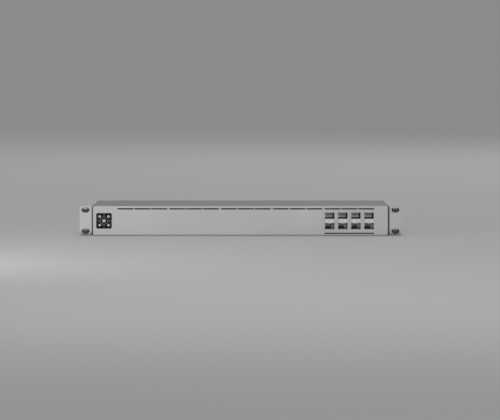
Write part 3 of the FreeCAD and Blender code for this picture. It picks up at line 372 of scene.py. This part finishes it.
def extruded(name, level, across):
    """Anodised extrusion: die lines along its length, and a silky sheen."""
    p = Paint(name, metallic=0.6)
    lines = p.noise(1, detail=5, roughness=0.75, vector=p.stretched(*across))
    p.colour(p.mix(p.span(lines, 0.3, 0.7), grey(level * 0.8), grey(level * 1.2)))
    p.roughness(p.span(lines, 0.3, 0.7, 0.34, 0.5))
    p.bump((lines, 0.15, 0.03 * MM))
    return p.material


def fired(name, level):
    """Ferrite: a dull fired surface with pits."""
    p = Paint(name, specular=0.3)
    pits = p.span(p.cells(1400), 0.0, 0.35)
    p.colour(p.mix(pits, grey(level * 0.5), grey(level * 1.1)))
    p.roughness(p.span(pits, 0, 1, 0.8, 0.6))
    p.bump((pits, 0.4, 0.05 * MM))
    return p.material


def wound_tape():
    """Yellow winding tape, with the edge of each turn showing."""
    p = Paint("wound_tape", specular=0.5)
    turns = p.noise(1, detail=2, vector=p.stretched(30, 30, 900))
    p.colour(p.mix(p.span(turns, 0.35, 0.6), (0.50, 0.38, 0.06), (0.74, 0.60, 0.14)))
    p.roughness(p.span(turns, 0.3, 0.7, 0.25, 0.4))
    p.bump((turns, 0.4, 0.08 * MM))
    return p.material


def can_sleeve():
    """Shrink-sleeved capacitor cans: a dark sleeve, a bare aluminium end and a pale stripe down one side."""
    p = Paint("can_sleeve", specular=0.5)
    end = p.span(p.facing("Z"), 0.80, 0.92)
    wrinkle = p.noise(500, detail=3, roughness=0.6)
    side = p.span(p.component(p.normal(), "X"), 0.80, 0.86)
    body = p.mix(side, (0.012, 0.014, 0.035), (0.45, 0.46, 0.48))
    p.colour(p.mix(end, body, p.mix(p.span(wrinkle, 0.3, 0.7), grey(0.55), grey(0.68))))
    p.roughness(p.span(wrinkle, 0.3, 0.7, 0.28, 0.42))
    p.bump((wrinkle, 0.15, 0.06 * MM))
    return p.material


def printed_film(name, colour, grain):
    """A laminated film or a cast case: even, with fine ribs and a soft gloss."""
    p = Paint(name, specular=0.5)
    ribs = p.noise(1, detail=3, vector=p.stretched(*grain))
    p.colour(p.mix(p.span(ribs, 0.35, 0.65), shade(colour, 0.82), colour))
    p.roughness(p.span(ribs, 0.3, 0.7, 0.3, 0.45))
    p.bump((ribs, 0.2, 0.05 * MM))
    return p.material


def studio_floor():
    """Pale painted floor with a barely visible roller texture."""
    p = Paint("studio_floor", specular=0.2)
    roller = p.noise(60, detail=4, roughness=0.6)
    p.colour(p.mix(p.span(roller, 0.3, 0.7), grey(0.54), grey(0.57)))
    p.roughness(p.span(roller, 0.3, 0.7, 0.7, 0.85))
    p.bump((roller, 0.04, 0.2 * MM))
    return p.material


# The CAD nodes' finishes

ZINC_PIECES = (
    "cover_screws", "panel_screws", "ear_screws", "display_screws", "heat_sink_screws", "board_screws",
    "standoffs", "cover_pin", "ground_screw",
)


def case_finishes():
    """Materials of the case, its front, and the fasteners."""
    case = powder_coat("case_paint", 0.22, 0.50)
    # the ears get painted shade on the faces that look up or down, and in their bend
    ears = blasted_silver("ear_finish", 0.40, 9.0 * MM, up_down_shade=0.32)
    zinc = plated("bright_zinc", (0.60, 0.61, 0.63))
    return {
        "base_tray": case,
        "rear_panel": case,
        "top_cover": case,
        "front_frame": case,
        "front_panel": blasted_silver("silver_finish", 0.40, 1.5 * MM),
        "rack_ear_left": ears,
        "rack_ear_right": ears,
        "rack_screws": blackened("rack_screw_black"),
        # near-black inserts in the ears' slots stand in for the shade seen through them
        "slot_inserts": moulding("slot_shade_black", 0.018, sheen=0.5),
        **dict.fromkeys(ZINC_PIECES, zinc),
    }


def display_finishes():
    """Materials of the display and what holds it."""
    return {
        "display_lens": display_glass(),
        "display_module": rolled_sheet("module_tray", 0.6, (40, 40, 1800)),
        "display_ribbon": printed_film("ribbon_film", (0.80, 0.81, 0.82), (20, 20, 1400)),
    }


def port_finishes():
    """Materials of the transceiver ports: cages, latch leaves, connectors, collars and lights."""
    # the cages get painted shade inside their folds
    tin = rolled_sheet("tin_plate", 0.58, (300, 14, 300), metallic=0.4, dull=0.2, hollow_shade_reach=9.0 * MM)
    leaf = rolled_sheet("latch_spring", 0.66, (500, 20, 500), metallic=0.5, dull=0.15)
    return {
        "sfp_connectors": connector_resin(),
        "emi_gaskets": plated("spring_sheet", (0.40, 0.39, 0.38), low=0.4, high=0.55),
        "light_guides": clear_resin(),
        "port_lamps": lit_ink("lamp_lens", 0.6, 0.1),
        **{node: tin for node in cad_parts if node.startswith("sfp_cage")},
        **{node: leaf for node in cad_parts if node.startswith("sfp_latch")},
    }


def board_finishes():
    """Materials of the three boards and of what they carry."""
    board = circuit_board()
    return {
        "display_board": board,
        "main_board": board,
        "power_board": board,
        "switch_chip": rolled_sheet("chip_lid", 0.55, (900, 60, 60)),
        "chip_packages": moulding("chip_resin", 0.025, sheen=0.38, grain=4200),
        "thermal_pad": moulding("pad_grey", 0.40, sheen=0.7),
        "heat_sink": extruded("black_anodised", 0.045, (900, 8, 900)),
        "board_headers": moulding("natural_nylon", 0.68, sheen=0.4, warmth=0.03),
        "electrolytic_capacitors": can_sleeve(),
        "filter_capacitors": printed_film("film_case", (0.55, 0.47, 0.14), (200, 200, 200)),
        "ferrite_cores": fired("ferrite", 0.07),
        "power_windings": wound_tape(),
        "power_heat_sinks": extruded("mill_aluminium", 0.55, (8, 500, 900)),
        "power_insulator": printed_film("insulating_sheet", (0.05, 0.05, 0.055), (60, 60, 60)),
        "power_wires": moulding("wire_sleeve", 0.03, sheen=0.3),
    }


def socket_finishes():
    """Materials of the rear's sockets and plunger, and of the display's holder, which is the same black."""
    black = moulding("black_moulding", 0.028)
    return {
        "display_holder": black,
        "ac_inlet": black,
        "backup_socket": black,
        "inlet_blades": plated("nickel_blades", (0.74, 0.72, 0.68), low=0.15, high=0.28),
        "backup_pins": plated("tinned_pins", (0.70, 0.68, 0.62)),
        "backup_cover": soft_elastomer(),
        "cover_bracket": plated("dark_nickel", (0.15, 0.15, 0.155), low=0.28, high=0.42),
        "reset_button": moulding("button_white", 0.62, sheen=0.35),
    }


def dress():
    """Gives every CAD node its material."""
    wear = {
        **case_finishes(), **display_finishes(), **port_finishes(), **board_finishes(), **socket_finishes(),
    }
    for node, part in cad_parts.items():
        part.data.materials.clear()
        part.data.materials.append(wear[node])


# Building pieces

def mesh_data(name, mesh):
    """A finished bmesh as mesh data."""
    data = bpy.data.meshes.new(name)
    mesh.to_mesh(data)
    mesh.free()
    return data


def placed(name, data, location=(0.0, 0.0, 0.0)):
    """A new object that is linked to the scene."""
    made = bpy.data.objects.new(name, data)
    made.location = location
    bpy.context.scene.collection.objects.link(made)
    return made


def piece(name, mesh, material, body=ROOT):
    """Makes a finished bmesh into an object that rides on a body."""
    bmesh.ops.recalc_face_normals(mesh, faces=mesh.faces)
    data = mesh_data(name, mesh)
    data.materials.append(material)
    made = placed(name, data)
    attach(made, body)


def slab(mesh, outline, y_back, y_front, soften=0.01 * MM):
    """Adds a flat shape with a softened front edge: its outline is in X and Z, and its depths in Y."""
    back = [mesh.verts.new((x, y_back, z)) for x, z in outline]
    front = [mesh.verts.new((x, y_front, z)) for x, z in outline]
    mesh.faces.new(back)
    face = mesh.faces.new(list(reversed(front)))
    for i in range(len(outline)):
        j = (i + 1) % len(outline)
        mesh.faces.new((back[i], front[i], front[j], back[j]))
    bmesh.ops.bevel(mesh, geom=list(face.edges), offset=soften, segments=2, affect="EDGES", profile=0.6)


def strip(mesh, rows):
    """Joins sections of four corners each into one closed strip."""
    for a, b in zip(rows, rows[1:]):
        for i in range(4):
            j = (i + 1) % 4
            mesh.faces.new((a[i], a[j], b[j], b[i]))
    mesh.faces.new(rows[0])
    mesh.faces.new(list(reversed(rows[-1])))


def ring_outline(cx, cz, radius, count=40):
    turn = 2 * math.pi / count
    return [(cx + radius * math.cos(i * turn), cz + radius * math.sin(i * turn)) for i in range(count)]


def bar_outline(start, end, width):
    run = (Vector(end) - Vector(start)).normalized() * (width / 2)
    across = Vector((-run.y, run.x))
    a, b = Vector(start), Vector(end)
    return [tuple(a - across), tuple(b - across), tuple(b + across), tuple(a + across)]


# The display's picture: its places are measured from the lens's centre

KEY_X, KEY_Z = 6.55 * MM, 6.5 * MM
KEY_RADIUS, CENTRE_RADIUS = 1.9 * MM, 2.45 * MM
MARK_REACH, MARK_RISE = 0.45, 0.2       # shares of a key's radius
RING_RADIUS, RING_BARS = 5.9 * MM, 24
LINE_END, LINE_WIDTH = 10.4 * MM, 0.36 * MM
SUNK, PROUD = 0.02 * MM, 0.03 * MM      # how far the picture reaches behind and before the glass


def display_keys(centre, corners, y_glass):
    """Four round keys at the corners and a larger one in the centre."""
    keys = bmesh.new()
    for x, z in corners:
        slab(keys, ring_outline(x, z, KEY_RADIUS), y_glass + SUNK, y_glass - PROUD)
    slab(keys, ring_outline(centre.x, centre.z, CENTRE_RADIUS), y_glass + SUNK, y_glass - PROUD)
    piece("display_keys", keys, lit_ink("key_light", 0.46, 0.12))


def display_marks(corners, y_glass):
    """Two short bars on each of three keys."""
    marks = bmesh.new()
    y_lit = y_glass - PROUD
    reach = KEY_RADIUS * MARK_REACH
    for x, z in corners[:3]:
        for rise in (-KEY_RADIUS * MARK_RISE, KEY_RADIUS * MARK_RISE):
            bar = bar_outline((x - reach, z + rise), (x + reach, z + rise), KEY_RADIUS * MARK_RISE)
            slab(marks, bar, y_lit + 0.01 * MM, y_lit - 0.02 * MM, soften=0.005 * MM)
    piece("display_marks", marks, lit_ink("mark_dark", 0.10, 0.02))


def bulged(value):
    """Turns a circle's coordinate into that of a diamond with rounded sides."""
    return math.copysign(abs(value) ** 1.45, value)


def display_lines(centre, y_glass):
    """A thin ring round the centre key, and a line from each of its four points to the picture's edge."""
    lines = bmesh.new()
    turns = [2 * math.pi * i / RING_BARS for i in range(RING_BARS)]
    around = [(RING_RADIUS * bulged(math.cos(t)), RING_RADIUS * bulged(math.sin(t))) for t in turns]
    bars = list(zip(around, around[1:] + around[:1]))
    stretch = LINE_END / RING_RADIUS
    for x, z in around[::RING_BARS // 4]:
        bars.append(((x, z), (x * stretch, z * stretch)))
    middle = Vector((centre.x, centre.z))
    for start, end in bars:
        bar = bar_outline(middle + Vector(start), middle + Vector(end), LINE_WIDTH)
        slab(lines, bar, y_glass + SUNK, y_glass - PROUD)
    piece("display_lines", lines, lit_ink("line_light", 0.30, 0.22))


def display_picture():
    """The display's plain picture, laid on the lens."""
    low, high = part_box("display_lens")
    centre = (low + high) / 2
    corners = [(centre.x + sx * KEY_X, centre.z + sz * KEY_Z) for sx in (-1, 1) for sz in (-1, 1)]
    display_keys(centre, corners, low.y)
    display_marks(corners, low.y)
    display_lines(centre, low.y)


# The edge connectors' contacts

CONTACTS_A_ROW, CONTACT_PITCH = 10, 0.8 * MM
CONTACT_HALF_WIDTH, CONTACT_SHEET = 0.2 * MM, 0.12 * MM
CONTACT_TIP, CONTACT_ROOT = 0.6 * MM, 6.6 * MM      # behind the connector's nose
SLOT_HALF_HEIGHT = 0.6 * MM
CONTACT_BOW = ((2.2, 0.05), (1.2, 0.32), (0.5, 0.30), (0.0, 0.08))      # mm behind the tip, and mm of lift


def contact(mesh, x, z, side, y_tip, y_root):
    """One sprung contact: a strip that bows towards the slot's middle near its tip."""
    wall = z + side * SLOT_HALF_HEIGHT
    profile = [(y_root, 0.0)] + [(y_tip + back * MM, lift * MM) for back, lift in CONTACT_BOW]
    rows = []
    for y, lift in profile:
        inner, outer = wall - side * (lift + CONTACT_SHEET), wall - side * lift
        corners = ((-1, inner), (1, inner), (1, outer), (-1, outer))
        rows.append([mesh.verts.new((x + sx * CONTACT_HALF_WIDTH, y, height)) for sx, height in corners])
    strip(mesh, rows)


def connector_contacts():
    """The gilt contacts in the upper and lower slot of each edge connector."""
    mesh = bmesh.new()
    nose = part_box("sfp_connectors")[0].y
    for number in range(1, 5):
        cage_low, cage_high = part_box(f"sfp_cage_{number}")
        cage = (cage_low + cage_high) / 2
        for z in (cage.z + PORT_RISE, cage.z - PORT_RISE):
            for i in range(CONTACTS_A_ROW):
                x = cage.x + (i - (CONTACTS_A_ROW - 1) / 2) * CONTACT_PITCH
                for side in (-1, 1):
                    contact(mesh, x, z, side, nose + CONTACT_TIP, nose + CONTACT_ROOT)
    piece("connector_contacts", mesh, plated("gilt", (0.40, 0.31, 0.16), low=0.35, high=0.5))


# The lower ports' latch ramps: mm behind and below the leaf's front, half width in mm, and lean in degrees

TAB_SECTIONS = (
    (0.9, 0.0, 3.0, 90),
    (0.3, 0.08, 3.0, 70),
    (0.05, 0.45, 2.95, 20),
    (0.30, 1.25, 2.55, -15),
    (0.75, 2.15, 1.95, -25),
)
TAB_HALF_SHEET = 0.14 * MM
LOWER_LATCHES = (2, 4, 6, 8)


def latch_tab(number, metal):
    """A tapered tongue at the front of one latch leaf, bent down into the port's mouth."""
    low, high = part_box(f"sfp_latch_{number}")
    x, y, z = (low.x + high.x) / 2, low.y, (low.z + high.z) / 2
    mesh = bmesh.new()
    rows = []
    for back, down, half, lean in TAB_SECTIONS:
        turn = math.radians(lean)
        off_y, off_z = -math.cos(turn) * TAB_HALF_SHEET, math.sin(turn) * TAB_HALF_SHEET
        rows.append([
            mesh.verts.new((x + sx * half * MM, y + back * MM + face * off_y, z - down * MM + face * off_z))
            for sx, face in ((-1, 1), (1, 1), (1, -1), (-1, -1))])
    strip(mesh, rows)
    piece(f"latch_tab_{number}", mesh, metal, f"latch_{number}")


def latch_tabs():
    metal = rolled_sheet("tab_spring", 0.50, (500, 20, 500), metallic=0.5, dull=0.15)
    for number in LOWER_LATCHES:
        latch_tab(number, metal)


# The studio

OBJECT_MIDDLE = Vector((0.0, 0.09, 0.0))
FLOOR_HALF = 80.0
SOFT_BOXES = (      # name, place and side in metres, and power in watts
    ("key", (0.45, -10.0, 0.78), 1.4, 174),
    ("left", (-0.95, -0.95, 0.11), 0.2, 6.9),
    ("top", (0.0, -2.2, 1.6), 0.35, 7.8),
    ("back", (0.8, 3.2, 2.4), 2.4, 18),
)
SKY_STRENGTH, SKY_SPREAD, SKY_TILT, SKY_TURN = 0.9, 40, -32, 15     # the angles are in degrees
WORLD_STRENGTH = 0.20
CAMERA_PLACE = (0.0067, -8.695, 0.395)
CAMERA_LENS, CAMERA_DIP, CAMERA_TURN = 417.5, 2.498, -0.05      # millimetres, degrees and degrees


def floor():
    """A wide floor under the lowest point of the CAD."""
    mesh = bmesh.new()
    bmesh.ops.create_grid(mesh, x_segments=2, y_segments=2, size=FLOOR_HALF)
    data = mesh_data("floor", mesh)
    data.materials.append(studio_floor())
    placed("floor", data, (0.0, 0.0, cad_low.z))


def soft_light(name, place, size, power):
    """A square soft box that points at the object's middle."""
    data = bpy.data.lights.new(name, "AREA")
    data.shape = "SQUARE"
    data.size = size
    data.energy = power
    made = placed(name, data, place)
    made.rotation_euler = (OBJECT_MIDDLE - Vector(place)).to_track_quat("-Z", "Y").to_euler()


def sky_light():
    """The even world light, and a very soft light from above the front."""
    world = bpy.data.worlds.new("studio")
    bpy.context.scene.world = world
    world.use_nodes = True
    background = world.node_tree.nodes["Background"]
    background.inputs["Color"].default_value = (1.0, 1.0, 1.0, 1.0)
    background.inputs["Strength"].default_value = WORLD_STRENGTH
    sun = bpy.data.lights.new("sky", "SUN")
    sun.energy = SKY_STRENGTH
    sun.angle = math.radians(SKY_SPREAD)
    placed("sky", sun).rotation_euler = (math.radians(SKY_TILT), 0.0, math.radians(SKY_TURN))


def camera():
    """A long lens, a little above the front panel."""
    data = bpy.data.cameras.new("camera")
    data.sensor_width = 36.0
    data.lens = CAMERA_LENS
    data.clip_end = 200.0
    made = placed("camera", data, CAMERA_PLACE)
    made.rotation_euler = (math.radians(90 - CAMERA_DIP), 0.0, math.radians(CAMERA_TURN))
    bpy.context.scene.camera = made


dress()
display_picture()
connector_contacts()
latch_tabs()
floor()
sky_light()
for soft_box in SOFT_BOXES:
    soft_light(*soft_box)
camera()
bpy.context.scene.view_settings.view_transform = "Standard"
